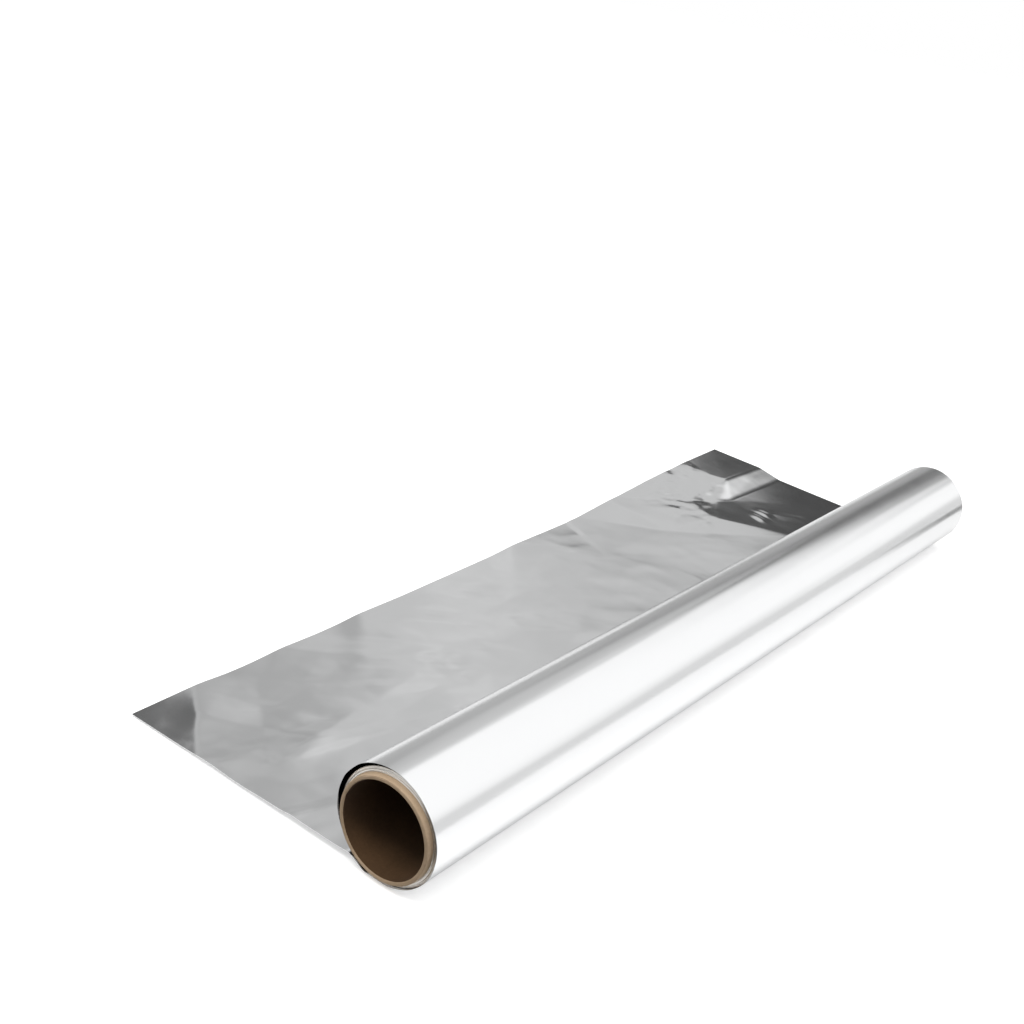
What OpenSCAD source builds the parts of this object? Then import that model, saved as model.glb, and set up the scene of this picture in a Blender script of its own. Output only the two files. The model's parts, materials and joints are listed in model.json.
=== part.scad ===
// Kitchen roll of aluminium foil on a paper tube, with its free end unrolled behind it.
// The roll lies along X and its sheet runs out along +Y. The origin is on the surface
// that it lies on, under the middle of the roll.

/* [Paper tube] */
// Inside diameter of the paper tube
core_bore_d = 34; // [20:0.5:60]
// Wall of the paper tube
core_wall = 1.5; // [0.8:0.1:4]
// How far the tube stands out of the foil at each end
core_overhang = 2; // [0.5:0.1:8]

/* [Wound foil] */
// Width of the foil, along the roll
foil_w = 457.2; // [200:0.1:600]
// Thickness of all the wound turns together
wound_t = 1.9; // [1:0.1:12]
// Thickness drawn for a single layer of foil
sheet_t = 0.3; // [0.2:0.05:0.6]
// Radial play between the tube and the innermost turn
wrap_clearance = 0.05; // [0.02:0.01:0.1]
// Number of turn lines that show on each end of the wound foil
turn_lines = 5; // [2:1:8]
// Depth of the turn lines on the ends
turn_line_depth = 0.4; // [0.1:0.05:1]

/* [Loose outer turn] */
// Widest gap under the loose outer turn
loose_gap = 1.3; // [0.6:0.1:3]
// Angle round the roll at which the outer turn lifts off, counted from the bottom by way of the front
loose_from = 135; // [100:5:160]

/* [Unrolled sheet] */
// Length of the unrolled sheet at its longer side, +X
leaf_l = 136.5; // [90:0.5:300]
// How much shorter the sheet is at the -X side, because it was torn off askew
cut_slant = 14; // [0:0.5:25]
// Height of the hump just behind the roll, at the -X side
hump_near = 3.1; // [0:0.1:4]
// Height of that hump at the +X side
hump_far = 1.3; // [0:0.1:4]
// Distance of the hump's ridge from the roll's centre line
hump_y = 28; // [26:1:60]
// Distance over which the hump dies away
hump_fade = 42; // [20:1:120]
// Height of the lifted corner at the +X end of the cut edge
corner_lift = 6; // [0:0.2:20]
// Height of the sharpest folds pressed into the sheet
fold_h = 1.3; // [0:0.1:3]
// How far the folds reach to their sides
fold_reach = 40; // [15:1:60]
// Depth of the flat strip pressed into the foil where the roll rests
settle = 0.2; // [0.1:0.02:0.26]

/* [Smoothness] */
// Steps of the sheet across its width
steps_x = 40; // [20:2:48]
// Steps of the sheet along its length
steps_y = 26; // [14:2:32]

/* [Hidden] */

kraft = [0.70, 0.53, 0.36];
aluminium = [0.84, 0.85, 0.86];
round_fn = 96;

// Radii from the inside out, all from the tube's bore
core_ir = core_bore_d / 2;
core_or = core_ir + core_wall;
wound_ir = core_or + wrap_clearance;
wound_or = wound_ir + wound_t;
turn_or = wound_or + sheet_t;
axis_h = turn_or - settle;

// The outer turn bites this far into the wound foil where it lies tight on it
bite = settle / 2;
// Where the flat strip under the roll ends and the free sheet begins
leaf_y0 = 6;
// Width of one turn line, as a share of the distance between two
line_share = 0.4;

// The loose half turn is an arc of its own. Its middle is moved towards the widest gap,
// and half a sheet towards its start, so it ends level with the wound foil.
loose_or = (turn_or + wound_or) / 2;
loose_shift = loose_gap + sheet_t / 2;

// Length of the sheet at its shorter side
leaf_near = leaf_l - cut_slant;

// Share of the near length over which the folds grow in behind the roll
fold_start = 0.25;
// Shares this close to the edge of a facet still count as inside it
edge_play = 0.001;

// Corners of the flat facets that lift one side of the sheet. Each has its share of the half
// width, its share of the length, and its height as a share of corner_lift.
net = [
    [0.29, 1, 0.05], [0.20, 0.74, 0], [0.33, 0.27, 0], [0.46, 1, 0.45], [0.44, 0.68, 0.12],
    [0.49, 0.27, 0], [0.61, 1, 0.75], [0.60, 0.60, 0.37], [0.67, 0.28, 0.03],
    [0.78, 1, 0.98], [0.83, 0.78, 0.97], [0.73, 0.67, 0.37], [1, 0.62, 0.40], [1, 0.75, 0.88],
    [1, 1, 1], [1, 0.26, 0.05], [0.63, 0.80, 0.75], [0.33, 0, 0], [0.49, 0, 0],
    [0.67, 0, 0.03], [1, 0, 0.05]
];
// The facets, each by its three corners
facets = [
    [0, 1, 4], [0, 4, 3], [1, 2, 5], [1, 5, 4], [4, 5, 8], [4, 8, 7], [3, 4, 16], [3, 16, 6],
    [4, 7, 16], [6, 16, 9], [16, 10, 9], [7, 11, 16], [11, 10, 16], [7, 8, 11], [8, 15, 11],
    [15, 12, 11], [11, 12, 13], [11, 13, 10], [10, 13, 14], [10, 14, 9],
    [2, 17, 18], [2, 18, 5], [5, 18, 19], [5, 19, 8], [8, 19, 20], [8, 20, 15]
];
// Straight folds. Each has its two ends as shares of the sheet, its height as a share of
// fold_h, and how far it reaches to its left and to its right as shares of fold_reach.
folds = [
    // Crease of the corner that lies flat
    [[-1, 0.69], [-0.86, 1], 0.9, 2, 0.6],
    // Folds that run out from one crinkle
    [[-0.47, 0.62], [-0.80, 0.54], 0.4, 0.3, 0.6],
    [[-0.51, 0.66], [-0.66, 0.99], 0.4, 0.6, 0.4],
    [[-0.58, 0.37], [-0.90, 0.50], 0.4, 0.4, 0.4],
    // Long slanting fold, and the two that meet near the cut edge
    [[-0.16, 0.40], [-0.46, 0.97], 0.5, 1.5, 0.6],
    [[0.06, 1], [0.20, 0.74], 0.5, 1, 1.5],
    [[0.20, 0.74], [0.27, 0.38], 0.2, 1.5, 1]
];

function smooth(u) = let(c = min(max(u, 0), 1)) c * c * (3 - 2 * c);
function sum(list) = list * [for (item = list) 1];
function cross_size(a, b) = a[0] * b[1] - a[1] * b[0];
function flat_part(p) = [p[0], p[1]];

// Length of the unrolled sheet at a place across its width
function leaf_len(x) = leaf_near + cut_slant * (x / foil_w + 0.5);

// Place on the sheet from its shares: -1 to 1 across the width, 0 to 1 from roll to cut edge
function place(share) =
    let(x = share[0] * foil_w / 2)
    [x, leaf_y0 + share[1] * (leaf_len(x) - leaf_y0)];

// Soft ridge behind the roll, gone at the cut edge
function hump(x, y) =
    let(
        crest = hump_near + (hump_far - hump_near) * (x / foil_w + 0.5),
        end = exp(-(leaf_near - hump_y) / hump_fade),
        left_over = max((exp(-max(y - hump_y, 0) / hump_fade) - end) / (1 - end), 0)
    )
    crest * smooth((y - leaf_y0) / (hump_y - leaf_y0)) * left_over;

// Height of one facet at a place given in shares, and zero outside it
function facet_z(share, f) =
    let(
        a = net[f[0]],
        b = net[f[1]],
        c = net[f[2]],
        side_b = flat_part(b - a),
        side_c = flat_part(c - a),
        reach = share - flat_part(a),
        whole = cross_size(side_b, side_c),
        to_b = cross_size(reach, side_c) / whole,
        to_c = cross_size(side_b, reach) / whole,
        inside = min(to_b, to_c, 1 - to_b - to_c) >= -edge_play
    )
    inside ? a[2] + to_b * (b[2] - a[2]) + to_c * (c[2] - a[2]) : 0;

// Height of one straight fold at a place
function one_fold_z(p, f) =
    let(
        a = place(f[0]),
        b = place(f[1]),
        line = b - a,
        share = min(max((p - a) * line / (line * line), 0), 1),
        reach = fold_reach * (cross_size(line, p - a) > 0 ? f[3] : f[4])
    )
    f[2] * max(1 - norm(p - a - share * line) / reach, 0);

// Height of the sheet's underside over the surface, at a place given in shares
function leaf_z(share) =
    let(
        p = place(share),
        grown = smooth((p[1] - leaf_y0) / (leaf_near * fold_start)),
        lift = corner_lift * max([for (f = facets) facet_z(share, f)]),
        creases = fold_h * sum([for (f = folds) one_fold_z(p, f)])
    )
    hump(p[0], p[1]) + grown * (lift + creases);

// Extrudes a section that is drawn about the roll's axis, centred on X
module along_x(length) {
    translate([-length / 2, 0, axis_h])
    rotate([90, 0, 90])
    linear_extrude(length)
    children();
}

// Flat ring about the roll's axis
module ring(outer, inner) {
    difference() {
        circle(r = outer, $fn = round_fn);
        circle(r = inner, $fn = round_fn);
    }
}

// Turns a drawing about the roll's axis, so that its +X points at angle a, counted from the
// bottom by way of the front, and its -Y a quarter turn further on
module turned(a) {
    rotate(-90 - a)
    children();
}

// The half plane that starts at angle a and takes in the half turn that follows
module half_turn(a) {
    turned(a)
    translate([-2 * turn_or, -2 * turn_or])
    square([4 * turn_or, 2 * turn_or]);
}

// Paper tube, cut square at both ends
module core_tube() {
    color(kraft)
    along_x(foil_w + 2 * core_overhang)
    ring(core_or, core_ir);
}

// The part of the outer turn that lies tight, from the bottom up over the front
module tight_turn() {
    difference() {
        intersection() {
            ring(turn_or, wound_or - bite);
            half_turn(0);
        }
        half_turn(loose_from);
    }
}

// The half turn that stands off the roll
module loose_turn() {
    intersection() {
        turned(loose_from)
        translate([sheet_t / 2, -loose_shift])
        ring(loose_or, loose_or - sheet_t);
        half_turn(loose_from);
    }
}

// Section of the roll with its outer turn and the flat strip that it rests on
module roll_section() {
    difference() {
        union() {
            circle(r = wound_or, $fn = round_fn);
            tight_turn();
            loose_turn();
            translate([0, -axis_h])
            square([leaf_y0, sheet_t]);
        }
        circle(r = wound_ir, $fn = round_fn);
        translate([-turn_or, -axis_h - turn_or])
        square([2 * turn_or, turn_or]);
    }
}

// Fine lines between the turns on both ends of the wound foil
module end_lines() {
    pitch = wound_t / (turn_lines + 1);
    for (side = [-1, 1])
        for (i = [1 : turn_lines])
            translate([side * foil_w / 2, 0, 0])
            along_x(2 * turn_line_depth)
            ring(wound_ir + pitch * (i + line_share / 2), wound_ir + pitch * (i - line_share / 2));
}

// The unrolled sheet, swept over a grid of points with its true folds
module leaf() {
    grid = [
        for (i = [0 : steps_x]) for (j = [0 : steps_y])
            let(share = [2 * i / steps_x - 1, j / steps_y])
            concat(place(share), leaf_z(share))
    ];
    count = len(grid);
    row = steps_y + 1;
    points = concat(grid, [for (p = grid) p + [0, 0, sheet_t]]);
    cells = [for (i = [0 : steps_x - 1]) for (j = [0 : steps_y - 1]) i * row + j];
    under = [for (c = cells) each [[c, c + row, c + 1], [c + 1, c + row, c + row + 1]]];
    over = [for (f = under) [f[0] + count, f[2] + count, f[1] + count]];
    rim = [
        for (j = [0 : steps_y - 1]) each [[j, j + 1], [steps_x * row + j + 1, steps_x * row + j]],
        for (i = [0 : steps_x - 1])
            each [[(i + 1) * row, i * row], [i * row + steps_y, (i + 1) * row + steps_y]]
    ];
    sides = [
        for (e = rim)
            each [[e[0], e[1], e[1] + count], [e[0], e[1] + count, e[0] + count]]
    ];
    polyhedron(points, concat(under, over, sides));
}

module foil() {
    color(aluminium)
    union() {
        difference() {
            along_x(foil_w)
            roll_section();
            end_lines();
        }
        leaf();
    }
}

core_tube();
foil();
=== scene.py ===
import json
import math

import bpy
import numpy as np
from mathutils import Matrix, Vector


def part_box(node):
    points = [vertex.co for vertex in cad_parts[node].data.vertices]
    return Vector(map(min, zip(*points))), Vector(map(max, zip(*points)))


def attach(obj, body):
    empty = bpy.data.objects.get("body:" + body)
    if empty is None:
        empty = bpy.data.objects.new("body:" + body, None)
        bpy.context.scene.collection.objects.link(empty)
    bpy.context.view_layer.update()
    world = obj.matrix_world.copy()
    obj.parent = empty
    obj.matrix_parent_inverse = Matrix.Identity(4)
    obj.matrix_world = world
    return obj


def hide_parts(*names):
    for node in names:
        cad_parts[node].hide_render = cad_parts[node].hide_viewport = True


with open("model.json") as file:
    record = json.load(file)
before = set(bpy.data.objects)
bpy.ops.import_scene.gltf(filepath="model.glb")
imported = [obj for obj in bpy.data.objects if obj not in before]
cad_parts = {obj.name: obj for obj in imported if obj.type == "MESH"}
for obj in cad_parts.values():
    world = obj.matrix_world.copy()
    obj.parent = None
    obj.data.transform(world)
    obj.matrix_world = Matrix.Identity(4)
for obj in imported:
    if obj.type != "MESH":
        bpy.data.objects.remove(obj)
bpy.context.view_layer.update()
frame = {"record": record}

MM = 0.001
DEGREE = math.radians(1)

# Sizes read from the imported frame
foil_low, foil_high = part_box("foil")
core_low, core_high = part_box("core_tube")
bore_mount = next(m for m in frame["record"]["mounts"] if m["name"] == "core_bore")
AXIS_H = bore_mount["pos_m"][2]
BORE_R = bore_mount["dims"]["r_mm"] * MM
CORE_OR = (core_high[2] - core_low[2]) / 2
HALF_CORE = core_high[0]
HALF_W = foil_high[0]
TURN_OR = -foil_low[1]
LEAF_FAR = foil_high[1]

# Sizes that the part's source also holds. The outer turn is loose from an angle in degrees on.
LEAF_NEAR = 122.5 * MM
CAD_SHEET = 0.3 * MM
WOUND_OR = TURN_OR - CAD_SHEET
LOOSE_GAP = 1.3 * MM
LOOSE_FROM = 135
LEAF_Y0 = 6 * MM
HUMP_FAR = 1.3 * MM
HUMP_FADE = 42 * MM

# Crest of the sheet behind the roll: a little nearer to it and higher than the source has it
HUMP_NEAR = 3.3 * MM
HUMP_Y = 14.5 * MM

# Thickness that the foil shows, and its least distances from the floor and the tube
SHEET = 0.12 * MM
FLOOR_GAP = 0.02 * MM
WRAP_GAP = 0.05 * MM

# Outer turn, in degrees: how far the floor may press it flat, where it sinks under the
# roll, and its end
NEAR_FLOOR = 40
SINKING = (LOOSE_FROM + 180, LOOSE_FROM + 200)
TURN_END = 338

# Fineness of the meshes. Angles are in degrees.
LEAF_STEP = 1.25 * MM
TURN_STEP = 1.25
TURN_ROWS = 170
PACK_STEPS = 300
PACK_RINGS = 34
CORE_STEPS = 160
SHARP_ANGLE = 50

SEED = 11
rng = np.random.default_rng(SEED)


def smooth(u):
    c = np.clip(u, 0, 1)
    return c * c * (3 - 2 * c)


def ramp(value, start, end):
    """From 0 at the start to 1 at the end, with soft ends."""
    return smooth((value - start) / (end - start))


# Corners of the flat facets of the lifted side: x, y and height, in mm
FACET_POINTS = np.array([
    (66, 140, 0.3), (46, 98, 0), (75, 40, 0), (105, 140, 2.7), (100, 92, 0.8), (112, 40, 0.3),
    (140, 140, 4.5), (137, 81, 2.2), (158, 44, 0.9), (178, 140, 5.8), (189, 106, 5.3),
    (170, 92, 1.8), (232, 90, 1.9), (232, 104, 4.9), (232, 142, 5.8), (232, 40, 0.3),
    (147, 106, 2.4), (160, 97, 2.2),
])
FACETS = [
    (0, 1, 4), (0, 4, 3), (1, 2, 5), (1, 5, 4), (4, 5, 8), (4, 8, 7), (3, 4, 16), (3, 16, 6),
    (4, 7, 16), (6, 16, 9), (16, 10, 9), (7, 17, 16), (17, 10, 16), (7, 11, 17), (11, 10, 17),
    (7, 8, 11), (8, 15, 11), (15, 12, 11), (11, 12, 13), (11, 13, 10), (10, 13, 14),
    (10, 14, 9),
]
# Offsets in mm over which the facets' edges are averaged
FACET_BLUR = [(0, 0), (1.2, 0.4), (-1.2, -0.4), (0.4, -1.2), (-0.4, 1.2)]

# Ridges in mm: two ends, height at each, reach on the left and on the right, roundness
RIDGES = [
    ((-229, 86), (-197, 125), 1.15, 1.15, 80, 24, 0.3),
    ((-229, 30), (-229, 76), 0.75, 0.8, 10, 50, 1.0),
    ((-108, 79), (-182, 70), 0.4, 0.6, 12, 24, 0.6),
    ((-116, 85), (-152, 126), 0.35, 0.7, 24, 16, 0.8),
    ((-132, 50), (-205, 66), 0.4, 0.6, 15, 15, 0.6),
    ((-160, 62), (-195, 69), 0.25, 0.4, 8, 12, 0.5),
    ((-208, 104), (-190, 72), 0.5, 0.5, 15, 18, 1.0),
    ((-36, 55), (-105, 122), 0.4, 0.8, 60, 26, 2.0),
    ((-228, 40), (-206, 33), 0.5, 0.35, 5, 8, 0.3),
    ((15, 132), (46, 98), 0.85, 0.12, 40, 60, 0.6),
    ((46, 98), (62, 54), 0.12, 0.1, 60, 40, 3.0),
    ((162, 67.5), (163, 70), 0.25, 0.25, 4, 4, 0.5),
    ((170, 69), (171, 71.5), 0.25, 0.25, 4, 4, 0.5),
    ((177, 65), (184, 54), 0.14, 0.16, 5, 7, 1.2),
]
RIDGE_SHARPNESS = 1.15
RIDGE_RUN_OUT = 9

# Long waves: count, ranges in mm, mean and spread of their direction, height for their length
WAVES = 14
WAVE_LENGTH = (14, 60)
WAVE_TURN = (0.75, 0.45)
WAVE_BEND = 4
WAVE_BEND_LENGTH = 23
WAVE_STEEPNESS = 0.00045

# Short creases: count, mean and spread of their direction, ranges in mm, height for their
# reach, and where they lie
CREASES = 130
CREASE_TURN = (-0.9, 0.5)
CREASE_HALF = (4, 17)
CREASE_REACH = (2.5, 8)
CREASE_SHARE = (0.1, 1)
CREASE_STEEPNESS = 0.012
CREASE_LOW = (-228, 40)
CREASE_HIGH = (228, 138)
CREASE_ROUND = 0.3

# Flat dents all over, and the sharper crumples of the far corner and of one knot, in mm
DENT_CELLS = (7, 11, 17, 26)
DENT_STEEPNESS = 0.009
CRUMPLE_CELLS = (3.5, 5.5, 8.5, 13)
CRUMPLE_STEEPNESS = 0.035
KNOT = (-106, 74)
KNOT_REACH = 11
KNOT_SHARE = 0.8
TABLE_CELLS = 128

# Where the unevenness changes: places in mm, and how much of it goes or is left
FLAT_BY_ROLL = (10, 35)
CRUMPLED_X = (112, 134)
CRUMPLED_EDGE = (138, 82)
CRUMPLED_SLANT = 0.45
CRUMPLED_TIP = (176, 108)
CRUMPLED_TIP_SLANT = 0.4
CRUMPLED_FADE = 8
CALM_WAVES = (140, 170)
CALM_WAVES_LOSS = 0.6
CALM_FAR_HALF = (15, 75)
CALM_FAR_HALF_LOSS = 0.5
CALM_FAR_END = (138, 154)
CALM_FAR_END_LOSS = 0.35
CALM_CUT = 16
CALM_CUT_LEFT = 0.3
CALM_CORNER = (95, 110)
CALM_CORNER_Y = 75
CALM_CORNER_FADE = 15
CALM_CORNER_LOSS = 0.6


def leaf_len(x):
    """Length of the unrolled sheet at x, as its cut runs aslant."""
    return LEAF_NEAR + (LEAF_FAR - LEAF_NEAR) * (x / (2 * HALF_W) + 0.5)


def hump_height(x, y):
    """Height of the sheet behind the roll, without its folds. All is in metres."""
    crest = HUMP_NEAR + (HUMP_FAR - HUMP_NEAR) * (x / (2 * HALF_W) + 0.5)
    rise = crest * ramp(y, LEAF_Y0, HUMP_Y)
    end = math.exp(-(LEAF_NEAR - HUMP_Y) / HUMP_FADE)
    left_over = (np.exp(-np.maximum(y - HUMP_Y, 0) / HUMP_FADE) - end) / (1 - end)
    return rise * np.maximum(left_over, 0)


def facet_height(x, y):
    """Height of the facets at places given in mm, in mm."""
    height = np.zeros_like(x)
    for corners in FACETS:
        a, b, c = FACET_POINTS[list(corners)]
        whole = (b[0] - a[0]) * (c[1] - a[1]) - (c[0] - a[0]) * (b[1] - a[1])
        to_b = ((x - a[0]) * (c[1] - a[1]) - (c[0] - a[0]) * (y - a[1])) / whole
        to_c = ((b[0] - a[0]) * (y - a[1]) - (x - a[0]) * (b[1] - a[1])) / whole
        inside = (to_b >= 0) & (to_c >= 0) & (to_b + to_c <= 1)
        height = np.where(inside, a[2] + to_b * (b[2] - a[2]) + to_c * (c[2] - a[2]), height)
    return height


def ridge_height(x, y, ridge):
    """Height of one ridge at places given in mm, in mm."""
    a, b, height_a, height_b, reach_left, reach_right, roundness = ridge
    dx = b[0] - a[0]
    dy = b[1] - a[1]
    length = math.hypot(dx, dy)
    side = (dx * (y - a[1]) - dy * (x - a[0])) / length
    share = ((x - a[0]) * dx + (y - a[1]) * dy) / length ** 2
    reach = np.where(side > 0, reach_left, reach_right)
    away = np.sqrt(side * side + roundness ** 2) - roundness
    beyond = np.maximum(np.maximum(-share, share - 1), 0) * length
    crest = height_a + (height_b - height_a) * np.clip(share, 0, 1)
    flank = np.maximum(1 - away / reach, 0) ** RIDGE_SHARPNESS
    return crest * flank * np.exp(-(beyond / np.minimum(RIDGE_RUN_OUT, reach)) ** 2)


def waves(x, y):
    """Long shallow waves, in mm."""
    total = np.zeros_like(x)
    for _ in range(WAVES):
        length = rng.uniform(*WAVE_LENGTH)
        turn = rng.normal(*WAVE_TURN)
        phase = rng.uniform(0, 2 * np.pi, 2)
        across = x * np.cos(turn) + y * np.sin(turn)
        down = y * np.cos(turn) - x * np.sin(turn)
        bent = across + WAVE_BEND * np.sin(down / WAVE_BEND_LENGTH + phase[0])
        total += WAVE_STEEPNESS * length * np.sin(2 * np.pi * bent / length + phase[1])
    return total * (1 - CALM_WAVES_LOSS * ramp(x, *CALM_WAVES))


def crumple(x, y, size, turn):
    """Flat triangles between random heights from 0 to 1. The size of a cell is in mm."""
    table = rng.uniform(0, 1, (TABLE_CELLS, TABLE_CELLS))
    u = (x * math.cos(turn) + y * math.sin(turn)) / size + TABLE_CELLS / 2
    v = (y * math.cos(turn) - x * math.sin(turn)) / size + TABLE_CELLS / 2
    i = np.floor(u).astype(int)
    j = np.floor(v).astype(int)
    fu = u - i
    fv = v - j
    corner = table[i % TABLE_CELLS, j % TABLE_CELLS]
    across = table[(i + 1) % TABLE_CELLS, j % TABLE_CELLS]
    up = table[i % TABLE_CELLS, (j + 1) % TABLE_CELLS]
    far = table[(i + 1) % TABLE_CELLS, (j + 1) % TABLE_CELLS]
    one = corner + fu * (across - corner) + fv * (far - across)
    other = corner + fv * (up - corner) + fu * (far - up)
    return np.where(fu > fv, one, other)


def fine_height(x, y):
    """Waves, short creases and flat dents all over the sheet, in mm."""
    fine = waves(x, y)
    for _ in range(CREASES):
        turn = rng.normal(*CREASE_TURN)
        half = rng.uniform(*CREASE_HALF)
        reach = rng.uniform(*CREASE_REACH)
        crest = rng.uniform(*CREASE_SHARE) * CREASE_STEEPNESS * reach
        middle = rng.uniform(CREASE_LOW, CREASE_HIGH)
        toward = half * np.array([np.cos(turn), np.sin(turn)])
        line = (middle - toward, middle + toward, crest, crest, reach, reach, CREASE_ROUND)
        fine = fine + ridge_height(x, y, line)
    for size in DENT_CELLS:
        dents = crumple(x, y, size, rng.uniform(0, np.pi)) - 0.5
        fine = fine + DENT_STEEPNESS * size * dents
    return fine


def crumpled_share(x, y):
    """1 where the far corner is crumpled and 0 elsewhere, at places given in mm."""
    inward = y - CRUMPLED_EDGE[1] - (x - CRUMPLED_EDGE[0]) * CRUMPLED_SLANT
    outward = x - CRUMPLED_TIP[0] - CRUMPLED_TIP_SLANT * np.abs(y - CRUMPLED_TIP[1])
    share = ramp(x, *CRUMPLED_X) * ramp(inward, 0, CRUMPLED_FADE)
    return share * (1 - ramp(outward, 0, CRUMPLED_FADE))


def fine_share(x, y, crumpled):
    """How much of the fine unevenness shows, from 0 to 1, at places given in mm."""
    loss = CALM_FAR_HALF_LOSS * ramp(x, *CALM_FAR_HALF)
    loss = loss + CALM_FAR_END_LOSS * ramp(x, *CALM_FAR_END)
    share = 1 - loss * (1 - crumpled)
    from_cut = leaf_len(x * MM) / MM - y
    share = share * (CALM_CUT_LEFT + (1 - CALM_CUT_LEFT) * ramp(from_cut, 0, CALM_CUT))
    from_corner = ramp(CALM_CORNER_Y - y, 0, CALM_CORNER_FADE)
    return share * (1 - CALM_CORNER_LOSS * ramp(x, *CALM_CORNER) * from_corner)


def leaf_height(x, y):
    """Height of the unrolled sheet's underside. All is in metres."""
    hump = hump_height(x, y)
    x = x / MM
    y = y / MM
    folds = 0
    for dx, dy in FACET_BLUR:
        folds = folds + facet_height(x + dx, y + dy) / len(FACET_BLUR)
    for ridge in RIDGES:
        folds = folds + ridge_height(x, y, ridge)
    crumpled = crumpled_share(x, y)
    folds = folds + fine_share(x, y, crumpled) * fine_height(x, y)
    knot = np.exp(-((x - KNOT[0]) ** 2 + (y - KNOT[1]) ** 2) / KNOT_REACH ** 2)
    for size in CRUMPLE_CELLS:
        facets = crumple(x, y, size, rng.uniform(0, np.pi)) - 0.5
        folds = folds + CRUMPLE_STEEPNESS * size * np.maximum(crumpled, KNOT_SHARE * knot) * facets
    return hump + ramp(y, *FLAT_BY_ROLL) * folds * MM


def turn_radius(angle):
    """Radius of the outer turn. Angles count from the bottom by way of the front."""
    middle_r = (TURN_OR + WOUND_OR) / 2
    to_start = CAD_SHEET / 2
    to_gap = LOOSE_GAP + CAD_SHEET / 2
    off = np.radians(angle - LOOSE_FROM)
    toward = to_start * np.cos(off) + to_gap * np.sin(off)
    shift = to_start ** 2 + to_gap ** 2
    loose = toward + np.sqrt(middle_r ** 2 - shift + toward ** 2)
    r = np.where(angle < LOOSE_FROM, TURN_OR, loose)
    r = r - ramp(angle, *SINKING) * 2 * SHEET
    floor_r = (AXIS_H - FLOOR_GAP) / np.cos(np.radians(np.minimum(angle, NEAR_FLOOR)))
    return np.where(angle < NEAR_FLOOR, np.minimum(r, floor_r), r)


# Flats along the roll: count, ranges in mm, drift and depth for their length
STREAKS = 16
STREAK_LENGTH = (2.5, 14)
STREAK_DRIFT = (0.2, 1.2)
STREAK_REACH = (120, 400)
STREAK_DEPTH = 0.0012
STREAK_START = 25


def streaks(x, angle):
    """Slight flats that run along the roll: a height in metres, zero or below."""
    total = np.zeros_like(x)
    arc = np.radians(angle) * TURN_OR
    for _ in range(STREAKS):
        length = rng.uniform(*STREAK_LENGTH) * MM
        drift = rng.uniform(*STREAK_DRIFT)
        reach = rng.uniform(*STREAK_REACH) * MM
        phase = rng.uniform(0, 2 * np.pi, 2)
        wave = 2 * np.pi * arc / length + drift * np.sin(2 * np.pi * x / reach + phase[0])
        total += STREAK_DEPTH * length * (np.sin(wave + phase[1]) - 1)
    return total * ramp(angle, 0, STREAK_START)


# Mesh helpers

def grid_faces(rows, cols, start=0, flip=False):
    i, j = np.meshgrid(np.arange(rows - 1), np.arange(cols - 1), indexing="ij")
    a = (start + i * cols + j).ravel()
    quads = np.stack([a, a + cols, a + cols + 1, a + 1], -1)
    return quads[:, ::-1] if flip else quads


def new_mesh(name, points, faces, materials, indices):
    mesh = bpy.data.meshes.new(name)
    mesh.vertices.add(len(points))
    mesh.vertices.foreach_set("co", np.ascontiguousarray(points, dtype=np.float32).ravel())
    mesh.loops.add(4 * len(faces))
    mesh.polygons.add(len(faces))
    mesh.loops.foreach_set("vertex_index", np.ascontiguousarray(faces, dtype=np.int32).ravel())
    mesh.polygons.foreach_set("loop_start", np.arange(len(faces), dtype=np.int32) * 4)
    mesh.polygons.foreach_set("material_index", np.asarray(indices, dtype=np.int32))
    mesh.polygons.foreach_set("use_smooth", np.full(len(faces), True))
    mesh.update(calc_edges=True)
    mesh.validate()
    mesh.set_sharp_from_angle(angle=math.radians(SHARP_ANGLE))
    for material in materials:
        mesh.materials.append(material)
    piece = bpy.data.objects.new(name, mesh)
    bpy.context.scene.collection.objects.link(piece)
    return piece


def closed_sheet(name, top, bottom, materials):
    """A thin solid from two grids of points. Its first material is on top, its second below."""
    rows, cols = top.shape[:2]
    count = rows * cols
    points = np.concatenate([top.reshape(-1, 3), bottom.reshape(-1, 3)])
    upper = grid_faces(rows, cols)
    lower = grid_faces(rows, cols, count, flip=True)
    i = np.arange(rows - 1)
    j = np.arange(cols - 1)
    last_row = (rows - 1) * cols
    rim = np.concatenate([
        np.stack([i * cols, i * cols + count, (i + 1) * cols + count, (i + 1) * cols], -1),
        np.stack([(i + 1) * cols - 1, (i + 2) * cols - 1, (i + 2) * cols - 1 + count,
                  (i + 1) * cols - 1 + count], -1),
        np.stack([j, j + 1, j + 1 + count, j + count], -1),
        np.stack([last_row + j, last_row + j + count, last_row + j + 1 + count,
                  last_row + j + 1], -1),
    ])
    faces = np.concatenate([upper, lower, rim])
    indices = np.concatenate([np.zeros(len(upper)), np.ones(len(lower)), np.zeros(len(rim))])
    return new_mesh(name, points, faces, materials, indices)


def round_points(x, r, angle):
    """Points about the roll's axis, from angles in radians that count from the bottom."""
    return np.stack([x, -r * np.sin(angle), AXIS_H - r * np.cos(angle)], -1)


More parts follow.
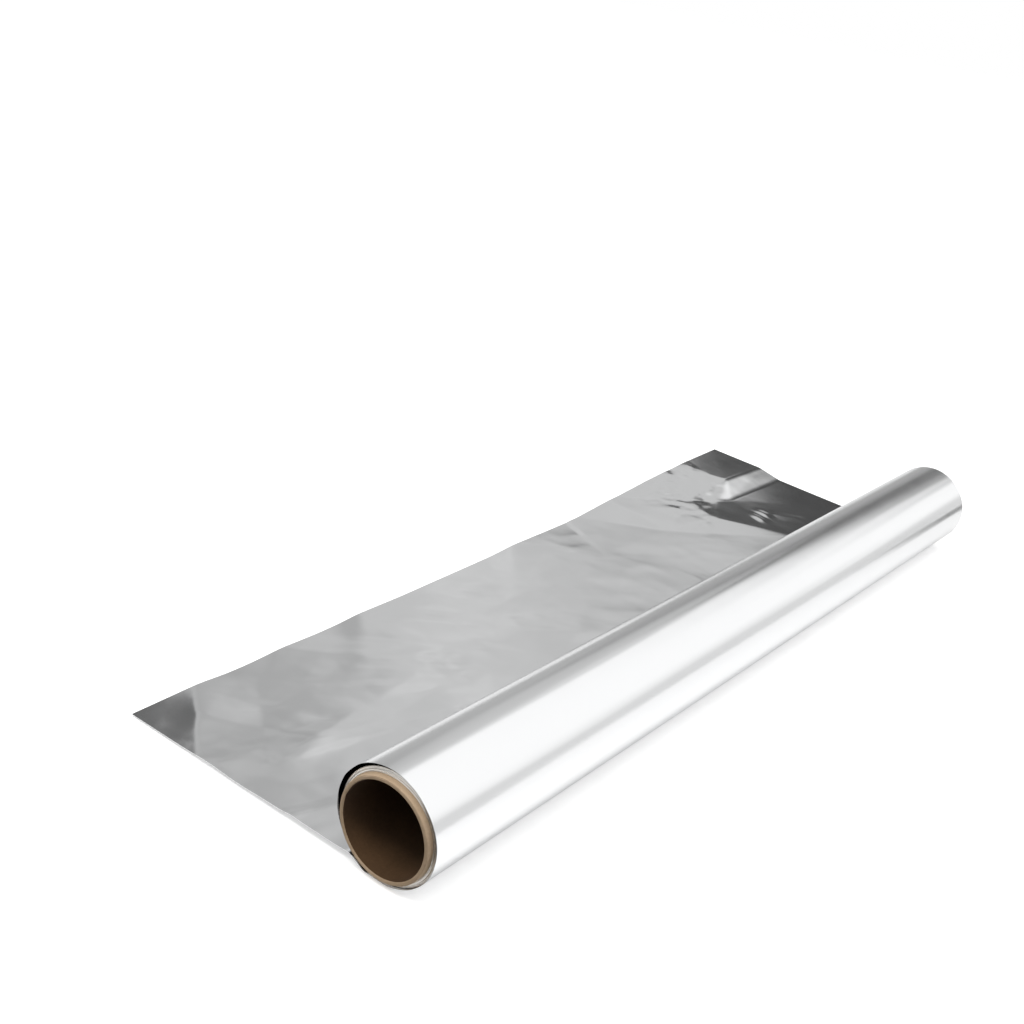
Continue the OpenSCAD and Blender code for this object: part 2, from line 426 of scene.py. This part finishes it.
def revolved(name, profile_x, profile_r, steps, materials, wall_rows):
    """A closed ring about the roll's axis. Both profiles may change with the angle.

    The second material goes on the rows of faces in wall_rows."""
    angle = np.radians(np.linspace(0, 360, steps, endpoint=False))[None, :]
    x = np.broadcast_to(profile_x, (len(profile_x), steps))
    r = np.broadcast_to(profile_r, (len(profile_r), steps))
    rows = len(profile_x)
    i, j = np.meshgrid(np.arange(rows), np.arange(steps), indexing="ij")
    next_i = (i + 1) % rows
    next_j = (j + 1) % steps
    faces = np.stack([i * steps + j, i * steps + next_j, next_i * steps + next_j,
                      next_i * steps + j], -1).reshape(-1, 4)
    indices = np.isin(i, wall_rows).astype(int).ravel()
    return new_mesh(name, round_points(x, r, angle).reshape(-1, 3), faces, materials, indices)


# Materials

def node_material(name, base, metallic, roughness):
    material = bpy.data.materials.new(name)
    material.use_nodes = True
    shader = material.node_tree.nodes["Principled BSDF"]
    shader.inputs["Base Color"].default_value = (*base, 1)
    shader.inputs["Metallic"].default_value = metallic
    shader.inputs["Roughness"].default_value = roughness
    return material, material.node_tree, shader


def add_node(tree, kind, **inputs):
    node = tree.nodes.new(kind)
    for key, value in inputs.items():
        node.inputs[key].default_value = value
    return node


def foil_material(name, base, rough_low, rough_high, crinkle):
    """Bright foil with fine rolling lines, uneven gloss and soft dents."""
    material, tree, shader = node_material(name, base, metallic=1, roughness=rough_low)
    place_node = tree.nodes.new("ShaderNodeTexCoord")
    lines_map = add_node(tree, "ShaderNodeMapping", Scale=(900, 12, 12))
    lines = add_node(tree, "ShaderNodeTexNoise", Scale=1, Detail=3, Roughness=0.6)
    soft = add_node(tree, "ShaderNodeTexNoise", Scale=60, Detail=5, Roughness=0.6)
    spread = add_node(tree, "ShaderNodeMapRange")
    spread.inputs["To Min"].default_value = rough_low
    spread.inputs["To Max"].default_value = rough_high
    fine = add_node(tree, "ShaderNodeBump", Strength=0.06, Distance=0.02 * MM)
    broad = add_node(tree, "ShaderNodeBump", Strength=crinkle, Distance=0.5 * MM)
    link = tree.links.new
    link(place_node.outputs["Object"], lines_map.inputs["Vector"])
    link(lines_map.outputs["Vector"], lines.inputs["Vector"])
    link(place_node.outputs["Object"], soft.inputs["Vector"])
    link(soft.outputs["Fac"], spread.inputs["Value"])
    link(spread.outputs["Result"], shader.inputs["Roughness"])
    link(lines.outputs["Fac"], fine.inputs["Height"])
    link(soft.outputs["Fac"], broad.inputs["Height"])
    link(fine.outputs["Normal"], broad.inputs["Normal"])
    link(broad.outputs["Normal"], shader.inputs["Normal"])
    return material


def kraft_material(name, dark, pale):
    """Matt brown board with fibres and faint stains."""
    material, tree, shader = node_material(name, pale, metallic=0, roughness=0.85)
    place_node = tree.nodes.new("ShaderNodeTexCoord")
    fibre = add_node(tree, "ShaderNodeTexNoise", Scale=900, Detail=6, Roughness=0.7)
    stain = add_node(tree, "ShaderNodeTexNoise", Scale=70, Detail=4, Roughness=0.5)
    tint = tree.nodes.new("ShaderNodeValToRGB")
    tint.color_ramp.elements[0].position = 0.3
    tint.color_ramp.elements[0].color = (*dark, 1)
    tint.color_ramp.elements[1].position = 0.7
    tint.color_ramp.elements[1].color = (*pale, 1)
    blend = add_node(tree, "ShaderNodeMix", Factor=0.5)
    bump = add_node(tree, "ShaderNodeBump", Strength=0.5, Distance=0.1 * MM)
    link = tree.links.new
    link(place_node.outputs["Object"], fibre.inputs["Vector"])
    link(place_node.outputs["Object"], stain.inputs["Vector"])
    link(fibre.outputs["Fac"], blend.inputs["A"])
    link(stain.outputs["Fac"], blend.inputs["B"])
    link(blend.outputs["Result"], tint.inputs["Fac"])
    link(tint.outputs["Color"], shader.inputs["Base Color"])
    link(fibre.outputs["Fac"], bump.inputs["Height"])
    link(bump.outputs["Normal"], shader.inputs["Normal"])
    return material


FOIL_WHITE = (0.90, 0.905, 0.91)
EDGE_WHITE = (0.86, 0.84, 0.80)
# Painted shade: the near-black colour below goes on the wound foil's outer wall, which shows only
# in the gap under the loose outer turn
GAP_PAINTED_SHADE = (0.04, 0.04, 0.04)
roll_side = foil_material("foil_outer_side", FOIL_WHITE, 0.19, 0.25, crinkle=0.02)
leaf_side = foil_material("foil_inner_side", FOIL_WHITE, 0.07, 0.13, crinkle=0.03)
edge_side = foil_material("foil_turn_edges", EDGE_WHITE, 0.15, 0.3, crinkle=0.2)
# Painted shade: near-black foil for the gap under the loose outer turn
gap_painted_shade = foil_material("foil_gap_painted_shade", GAP_PAINTED_SHADE, 0.3, 0.45, crinkle=0.2)
kraft = kraft_material("kraft_board", dark=(0.38, 0.27, 0.17), pale=(0.54, 0.40, 0.27))
# Painted shade: the same board in a much darker brown inside the bore, which lies in shade
bore_painted_shade = kraft_material("kraft_bore_painted_shade", dark=(0.065, 0.035, 0.016), pale=(0.12, 0.066, 0.031))


# Pieces

def make_leaf():
    """The unrolled sheet, with its shiny side up."""
    columns = int(round(2 * HALF_W / LEAF_STEP)) + 1
    rows = int(round(LEAF_FAR / LEAF_STEP)) + 1
    x = np.broadcast_to(np.linspace(-HALF_W, HALF_W, columns)[:, None], (columns, rows))
    y = leaf_len(x) * np.linspace(0, 1, rows)[None, :]
    z = np.maximum(leaf_height(x, y), FLOOR_GAP)
    under = np.stack([x, y, z], -1)
    over = under + np.array([0, 0, SHEET])
    return closed_sheet("foil_leaf", over, under, [leaf_side, roll_side])


def make_turn():
    """The outer turn of the roll, with its satin side out."""
    angles = np.arange(0, TURN_END + TURN_STEP, TURN_STEP)
    x = np.broadcast_to(np.linspace(-HALF_W, HALF_W, TURN_ROWS)[:, None],
                        (TURN_ROWS, len(angles)))
    angle = np.broadcast_to(angles[None, :], x.shape)
    outer_r = turn_radius(angle) + streaks(x, angle)
    radians = np.radians(angle)
    return closed_sheet("foil_outer_turn", round_points(x, outer_r, radians),
                        round_points(x, outer_r - SHEET, radians), [roll_side, leaf_side])


# Ends of the wound foil: growth of a turn, slope, and waves with ranges in mm
TURN_GROWTH = 0.08 * MM
END_SLOPE = 0.9 * MM
EDGE_WAVES = 9
EDGE_LENGTH = (0.12, 0.7)
EDGE_DEPTH = 0.09
EDGE_PHASE = (0, 6.28)


def edge_depth(r):
    """How far the edges of the turns lie back, in metres."""
    depth = np.zeros_like(r)
    for _ in range(EDGE_WAVES):
        length = rng.uniform(*EDGE_LENGTH) * MM
        phase = rng.uniform(*EDGE_PHASE)
        depth += EDGE_DEPTH * length * (1 + np.sin(2 * np.pi * r / length + phase))
    return depth


def make_pack():
    """The wound foil under the outer turn, with the edges of its turns on both ends. Its outer
    wall carries painted shade: a near-black foil colour for the gap under the loose outer turn.
    """
    ring_r = np.linspace(CORE_OR + WRAP_GAP, WOUND_OR - SHEET, PACK_RINGS)
    growth = TURN_GROWTH * np.linspace(0, 1, PACK_STEPS, endpoint=False)
    spiral = ring_r[:, None] + growth[None, :]
    sloping = END_SLOPE * (ring_r - ring_r[0])[:, None] / (ring_r[-1] - ring_r[0])
    near_x = -HALF_W + edge_depth(spiral) + sloping
    far_x = HALF_W - (edge_depth(spiral) + sloping)[::-1]
    profile_x = np.concatenate([near_x, far_x])
    profile_r = np.concatenate([ring_r, ring_r[::-1]])[:, None]
    return revolved("foil_wound_turns", profile_x, profile_r, PACK_STEPS,
                    [edge_side, gap_painted_shade], [PACK_RINGS - 1])


# Paper tube: the spiral seam inside, and the plies and worn edges of its ends
SEAM_PITCH = 85 * MM
SEAM_WIDTH = 0.9 * MM
SEAM_DEPTH = 0.12 * MM
PLY_THICKNESS = 0.5 * MM
PLY_DEPTH = 0.06 * MM
CHEW_MM = 0.06
WORN_DEPTH = 0.3 * MM
RIM_BACK = 0.35 * MM
WALL_ROWS = 9
FINE_STEP = 0.6
FINE_END = 45
COARSE_ROWS = (48, 228, 46)


def make_core():
    """The open paper tube, with painted shade inside: its bore is the same board in a much darker
    brown.
    """
    fine_x = np.arange(FINE_STEP, FINE_END, FINE_STEP) * MM
    from_end = np.concatenate([[WORN_DEPTH], fine_x, np.linspace(*COARSE_ROWS) * MM])
    half_x = HALF_CORE - from_end
    inner_x = np.concatenate([-half_x, half_x[::-1]])
    turn_share = np.linspace(0, 1, CORE_STEPS, endpoint=False)[None, :]
    seam_at = (inner_x[:, None] / SEAM_PITCH + turn_share) % 1
    from_seam = np.minimum(seam_at, 1 - seam_at) * SEAM_PITCH / SEAM_WIDTH
    inner_r = BORE_R + SEAM_DEPTH * np.exp(-from_seam ** 2)
    wall_r = np.linspace(BORE_R, CORE_OR, WALL_ROWS)[1:-1]
    ply = PLY_DEPTH * (1 + np.sin(wall_r * 2 * np.pi / PLY_THICKNESS))[:, None]
    chew = rng.uniform(0, CHEW_MM, (len(wall_r), CORE_STEPS)) * MM
    from_middle = np.abs((wall_r - BORE_R) / (CORE_OR - BORE_R) * 2 - 1)[:, None]
    worn = WORN_DEPTH * from_middle ** 3
    profile_x = np.concatenate([
        np.broadcast_to(inner_x[:, None], (len(inner_x), CORE_STEPS)),
        HALF_CORE - ply - chew - worn,
        np.full((1, CORE_STEPS), HALF_CORE - RIM_BACK),
        np.full((1, CORE_STEPS), -HALF_CORE + RIM_BACK),
        (-HALF_CORE + ply + chew + worn)[::-1],
    ])
    profile_r = np.concatenate([
        inner_r,
        np.broadcast_to(wall_r[:, None], (len(wall_r), CORE_STEPS)),
        np.full((2, CORE_STEPS), CORE_OR),
        np.broadcast_to(wall_r[::-1, None], (len(wall_r), CORE_STEPS)),
    ])
    inner_rows = np.arange(len(profile_x) - len(inner_x), len(profile_x) - 1)
    return revolved("paper_core", profile_x[::-1], profile_r[::-1], CORE_STEPS,
                    [kraft, bore_painted_shade], inner_rows)


leaf = make_leaf()
turn = make_turn()
pack = make_pack()
core = make_core()
for piece in (leaf, turn, pack):
    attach(piece, "root")
    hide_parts("foil")
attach(core, "root")
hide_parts("core_tube")


class Nodes:
    """Short calls for building a chain of math nodes."""

    def __init__(self, tree):
        self.tree = tree

    def put(self, socket, value):
        if isinstance(value, (int, float)):
            socket.default_value = value
        else:
            self.tree.links.new(value, socket)

    def math(self, operation, a, b=0.0):
        node = self.tree.nodes.new("ShaderNodeMath")
        node.operation = operation
        self.put(node.inputs[0], a)
        self.put(node.inputs[1], b)
        return node.outputs[0]

    def times(self, a, b):
        return self.math("MULTIPLY", a, b)

    def step(self, value, start, end, low=0.0, high=1.0):
        """From low at the start to high at the end, with soft ends."""
        node = self.tree.nodes.new("ShaderNodeMapRange")
        node.interpolation_type = "SMOOTHSTEP"
        self.put(node.inputs["Value"], value)
        node.inputs["From Min"].default_value = start
        node.inputs["From Max"].default_value = end
        node.inputs["To Min"].default_value = low
        node.inputs["To Max"].default_value = high
        return node.outputs["Result"]

    def mix(self, factor, a, b):
        node = self.tree.nodes.new("ShaderNodeMix")
        self.put(node.inputs["Factor"], factor)
        self.put(node.inputs["A"], a)
        self.put(node.inputs["B"], b)
        return node.outputs["Result"]

    def by_azimuth(self, share, stops):
        """A grey level between stops of azimuth in degrees, from a share of half a turn."""
        curve = self.tree.nodes.new("ShaderNodeValToRGB")
        points = curve.color_ramp.elements
        while len(points) < len(stops):
            points.new(0.5)
        for point, (angle, value) in zip(points, stops):
            point.position = angle / 180
            point.color = (value, value, value, 1)
        self.tree.links.new(share, curve.inputs["Fac"])
        return curve.outputs["Color"]


# Floor. The object sees it dark in front of the bore and in a strip beyond the far end.
# Each pair says where a change starts and ends, in metres.
FLOOR_SIZE = 12
FLOOR_PALE = 0.82
FLOOR_DARK = 0.05
BORE_SIDE_X = (-0.232, -0.25)
BORE_SIDE_Y = (0.07, 0.03)
STRIP_NEAR_X = (0.34, 0.40)
STRIP_FAR_X = (0.62, 0.56)
STRIP_FRONT_Y = (-0.24, -0.20)
STRIP_BACK_Y = (-0.06, -0.09)
CAMERA_GLOW = 0.42
MIRROR_GLOW = 0.02


def floor_material():
    """Pale matt paper that the camera sees nearly white, with the object's shadow on it."""
    material = bpy.data.materials.new("floor_paper")
    material.use_nodes = True
    tree = material.node_tree
    tree.nodes.remove(tree.nodes["Principled BSDF"])
    nodes = Nodes(tree)
    matt = tree.nodes.new("ShaderNodeBsdfDiffuse")
    glow = add_node(tree, "ShaderNodeEmission", Color=(1, 1, 1, 1))
    both = tree.nodes.new("ShaderNodeAddShader")
    ray = tree.nodes.new("ShaderNodeLightPath")
    spot = tree.nodes.new("ShaderNodeTexCoord")
    axes = tree.nodes.new("ShaderNodeSeparateXYZ")
    tree.links.new(spot.outputs["Object"], axes.inputs[0])
    x, y, _ = axes.outputs
    bore_side = nodes.times(nodes.step(x, *BORE_SIDE_X), nodes.step(y, *BORE_SIDE_Y))
    strip = nodes.times(nodes.step(x, *STRIP_NEAR_X), nodes.step(x, *STRIP_FAR_X))
    strip = nodes.times(strip, nodes.step(y, *STRIP_FRONT_Y))
    strip = nodes.times(strip, nodes.step(y, *STRIP_BACK_Y))
    dark = nodes.math("MAXIMUM", bore_side, strip)
    unseen = nodes.math("SUBTRACT", 1.0, ray.outputs["Is Camera Ray"])
    shade = nodes.mix(nodes.times(dark, unseen), FLOOR_PALE, FLOOR_DARK)
    seen = nodes.times(ray.outputs["Is Camera Ray"], CAMERA_GLOW)
    mirrored = nodes.times(ray.outputs["Is Glossy Ray"], MIRROR_GLOW)
    tree.links.new(shade, matt.inputs["Color"])
    tree.links.new(nodes.math("ADD", seen, mirrored), glow.inputs["Strength"])
    tree.links.new(matt.outputs[0], both.inputs[0])
    tree.links.new(glow.outputs[0], both.inputs[1])
    tree.links.new(both.outputs[0], tree.nodes["Material Output"].inputs["Surface"])
    return material


bpy.ops.mesh.primitive_plane_add(size=FLOOR_SIZE)
floor = bpy.context.object
floor.name = "floor"
floor.data.materials.append(floor_material())

# Studio round the part: grey walls, a broad soft box, a dark band and a darker left side
SOFT_BOX = 1.08
FRONT_WALL = 0.72
LEFT_LOW = 0.3
LEFT_FRONT = 0.08
LEFT_HIGH = 0.85
UNEVEN = (0.84, 1.12)
UNEVEN_SPOTS = (0.3, 0.7)

# Levels by azimuth in degrees, counted from +X towards +Y
WALL = [(0, 0.5), (24, 0.52), (29, 0.58), (35, 0.66), (41, 0.56), (45, 0.47), (49, 0.47),
        (50, 0.13), (76, 0.13), (82, 0.5), (180, 0.5)]
DARK_BAND = [(0, 0.06), (24, 0.07), (28, 0.17), (36, 0.24), (40, 0.46), (180, 0.46)]
LOW_WALL = [(0, 0.45), (24, 0.40), (36, 0.40), (40, 0.46), (180, 0.5)]

# Heights in degrees over the horizon: foot and top of the dark band, how soft its top is,
# and where the left side turns light
BAND_FOOT = (14.5, 16.5)
BAND_TOP = 19.8
BAND_TOP_SOFT = 5.0
BAND_TOP_CORNER = 21
EDGE_REACH = 1.5
EDGE_REACH_SOFT = 5.5
LEFT_RISE = (18, 50)

# Azimuths in degrees: where the band's top is soft, up to where it is higher for the far
# corner, and where the band begins
SOFT_FROM = (-6, 2)
SOFT_TO = (22.3, 20.5)
CORNER_TO = (26.3, 25.3)
BAND_FROM = (-8, -12)

# Soft box by its angle round the X axis, and sides of the studio by parts of the direction
BOX_RISE = (62 * DEGREE, 70 * DEGREE)
BOX_FALL = (166 * DEGREE, 156 * DEGREE)
BOX_END = (-0.45, -0.15)
FRONT_SIDE = (0.0, -0.15)
LEFT_SIDE = (-0.1, -0.4)
LEFT_FRONT_SIDE = (-0.1, -0.35)


def make_studio():
    """What the object mirrors all round it. The camera sees plain white instead."""
    world = bpy.data.worlds.new("studio")
    bpy.context.scene.world = world
    world.use_nodes = True
    tree = world.node_tree
    nodes = Nodes(tree)
    direction = tree.nodes.new("ShaderNodeTexCoord")
    parts = tree.nodes.new("ShaderNodeSeparateXYZ")
    tree.links.new(direction.outputs["Generated"], parts.inputs[0])
    dir_x, dir_y, dir_z = parts.outputs
    turned = nodes.math("ARCTAN2", dir_y, dir_x)
    half_turn_share = nodes.times(turned, 1 / math.pi)
    azimuth = nodes.times(turned, 1 / DEGREE)
    rising = nodes.times(nodes.math("ARCSINE", dir_z), 1 / DEGREE)

    # Walls and soft box
    spots = add_node(tree, "ShaderNodeTexNoise", Scale=7, Detail=2, Roughness=0.5)
    tree.links.new(direction.outputs["Generated"], spots.inputs["Vector"])
    uneven = nodes.step(spots.outputs["Fac"], *UNEVEN_SPOTS, *UNEVEN)
    wall = nodes.times(nodes.by_azimuth(half_turn_share, WALL), uneven)
    wall = nodes.mix(nodes.step(dir_y, *FRONT_SIDE), wall, FRONT_WALL)
    around = nodes.math("ARCTAN2", dir_z, dir_y)
    box = nodes.times(nodes.step(around, *BOX_RISE), nodes.step(around, *BOX_FALL))
    box = nodes.times(box, nodes.step(dir_x, *BOX_END))
    upper = nodes.mix(box, wall, SOFT_BOX)

    # Dark band over the low wall
    low_wall = nodes.by_azimuth(half_turn_share, LOW_WALL)
    dark_band = nodes.by_azimuth(half_turn_share, DARK_BAND)
    lower = nodes.mix(nodes.step(rising, *BAND_FOOT), low_wall, dark_band)
    soft = nodes.times(nodes.step(azimuth, *SOFT_TO), nodes.step(azimuth, *SOFT_FROM))
    band_top = nodes.math("ADD", nodes.times(soft, BAND_TOP_SOFT), BAND_TOP)
    corner_top = nodes.times(nodes.step(azimuth, *CORNER_TO), BAND_TOP_CORNER)
    band_top = nodes.math("MAXIMUM", band_top, corner_top)
    reach = nodes.math("ADD", nodes.times(soft, EDGE_REACH_SOFT), EDGE_REACH)
    over_edge = nodes.math("DIVIDE", nodes.math("SUBTRACT", rising, band_top), reach)
    over_edge = nodes.step(over_edge, 0, 1)
    over_edge = nodes.math("MAXIMUM", over_edge, nodes.step(azimuth, *BAND_FROM))
    level = nodes.mix(over_edge, lower, upper)

    # Left side, and white for the camera
    left = nodes.mix(nodes.step(dir_y, *LEFT_FRONT_SIDE), LEFT_LOW, LEFT_FRONT)
    left = nodes.mix(nodes.step(rising, *LEFT_RISE), left, LEFT_HIGH)
    level = nodes.mix(nodes.step(dir_x, *LEFT_SIDE), level, left)
    ray = tree.nodes.new("ShaderNodeLightPath")
    level = nodes.mix(ray.outputs["Is Camera Ray"], level, 1.0)
    sky = tree.nodes["Background"]
    sky.inputs["Color"].default_value = (1, 1, 1, 1)
    tree.links.new(level, sky.inputs["Strength"])


def make_lamp(name, place, aim, size, power):
    """A square lamp that gives light but isn't mirrored."""
    data = bpy.data.lights.new(name, "AREA")
    data.shape = "RECTANGLE"
    data.size = size
    data.size_y = size
    data.energy = power
    light = bpy.data.objects.new(name, data)
    light.location = place
    light.rotation_euler = (Vector(aim) - Vector(place)).to_track_quat("-Z", "Y").to_euler()
    light.visible_glossy = False
    bpy.context.scene.collection.objects.link(light)


make_studio()
make_lamp("over_lamp", place=(0.6, -0.2, 1.5), aim=(0, 0, 0), size=1.4, power=9)
make_lamp("end_lamp", place=(-0.5, 0.06, 0.8), aim=(-HALF_CORE, 0, AXIS_H), size=0.25, power=3)

# Camera, fitted to the photograph's outline
CAMERA_YAW = math.radians(-56.34)
CAMERA_PITCH = math.radians(22.92)
CAMERA_ROLL = math.radians(9.74)
CAMERA_BACK = 610.9 * MM
CAMERA_RIGHT = -95.0 * MM
CAMERA_UP = 65.99 * MM
FOCAL_PX = 1368.88
IMAGE_PX = 1024
SENSOR_MM = 36


def make_camera():
    """The camera at the photograph's angle, placed along its own axes."""
    back = Vector((math.sin(CAMERA_YAW) * math.cos(CAMERA_PITCH),
                   -math.cos(CAMERA_YAW) * math.cos(CAMERA_PITCH),
                   math.sin(CAMERA_PITCH)))
    level_right = Vector((math.cos(CAMERA_YAW), math.sin(CAMERA_YAW), 0))
    level_up = back.cross(level_right)
    right = level_right * math.cos(CAMERA_ROLL) + level_up * math.sin(CAMERA_ROLL)
    up = level_up * math.cos(CAMERA_ROLL) - level_right * math.sin(CAMERA_ROLL)
    data = bpy.data.cameras.new("camera")
    data.sensor_width = SENSOR_MM
    data.lens = FOCAL_PX * SENSOR_MM / IMAGE_PX
    camera = bpy.data.objects.new("camera", data)
    place = back * CAMERA_BACK + right * CAMERA_RIGHT + up * CAMERA_UP
    turned = Matrix((right, up, back)).transposed().to_4x4()
    camera.matrix_world = Matrix.Translation(place) @ turned
    bpy.context.scene.collection.objects.link(camera)
    return camera


bpy.context.scene.camera = make_camera()
bpy.context.scene.view_settings.view_transform = "Standard"
